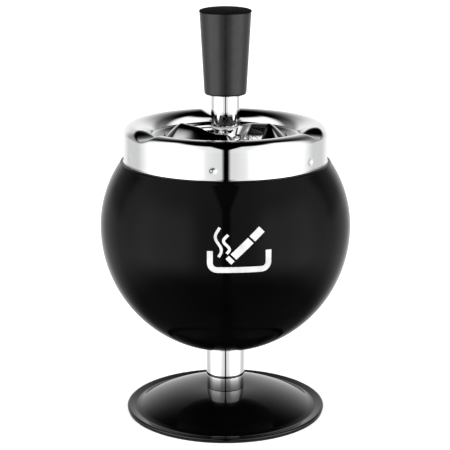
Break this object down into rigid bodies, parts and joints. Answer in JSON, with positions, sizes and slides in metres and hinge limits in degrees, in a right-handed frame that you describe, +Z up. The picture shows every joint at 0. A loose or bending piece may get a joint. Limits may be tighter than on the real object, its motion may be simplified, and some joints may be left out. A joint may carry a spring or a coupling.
{
  "type": "table ashtray",
  "caption": "Pedestal table ashtray: a black ball bowl on a tube and round foot, with a lift-off chrome dish lid whose spinning disc drops when the knob is pushed.",
  "frame": {"origin": "on the table under the middle of the foot", "axes": "+Z up along the stem; -Y towards the side that carries the pictogram"},
  "size_m": [0.12, 0.12, 0.1972],
  "materials": {
    "ball_lacquer": "high-gloss black lacquer on spun steel",
    "foot_lacquer": "high-gloss black lacquer on spun steel",
    "chrome_plate": "bright mirror chrome plate on pressed steel",
    "tube_chrome": "bright mirror chrome plate on drawn tube",
    "plated_steel": "bright zinc plate",
    "spring_steel": "drawn spring wire, lightly oiled",
    "black_plastic": "satin moulded black plastic",
    "white_nylon": "natural nylon",
    "black_foam": "soft black foam sheet",
    "red_fibre": "pressed fibre"
  },
  "bodies": {
    "base": {"foot_disc": "foot_lacquer", "foot_pad": "black_foam", "pedestal_tube": "tube_chrome", "tie_rod": "plated_steel", "foot_washer": "plated_steel", "foot_nut": "plated_steel", "sealing_washer": "red_fibre", "bowl_washer": "plated_steel", "bowl_nut": "plated_steel", "bowl": "ball_lacquer"},
    "lid": {"top_dish": "chrome_plate", "support_bracket": "plated_steel", "spindle": "plated_steel", "spindle_washer": "plated_steel", "spindle_nut": "plated_steel", "spring_seat": "plated_steel", "return_spring": "spring_steel", "stop_washer": "plated_steel", "retaining_clip": "spring_steel"},
    "plunger": {"push_tube": "tube_chrome", "tube_plug": "plated_steel", "knob": "black_plastic", "knob_cap": "black_plastic", "knob_screw": "plated_steel"},
    "spinner": {"spinner_disc": "chrome_plate", "spinner_hub": "tube_chrome", "drive_nut": "white_nylon", "pivot_bush": "white_nylon"}
  },
  "joints": [
    {"name": "lid_lift", "type": "slide", "parent": "base", "child": "lid", "axis": [0, 0, 1], "range_m": [0, 0.06]},
    {"name": "knob_push", "type": "slide", "parent": "lid", "child": "plunger", "axis": [0, 0, -1], "range_m": [0, 0.016], "stiffness_N_per_m": 300, "springref_m": -0.008, "deforming": ["return_spring"]},
    {"name": "disc_spin", "type": "hinge", "parent": "plunger", "child": "spinner", "pos_m": [0, 0, 0.135], "axis": [0, 0, -1], "range_deg": [0, 180]}
  ],
  "couplings": [
    {"joint": "disc_spin", "follows": "knob_push", "rad_per_m": 196.35}
  ]
}
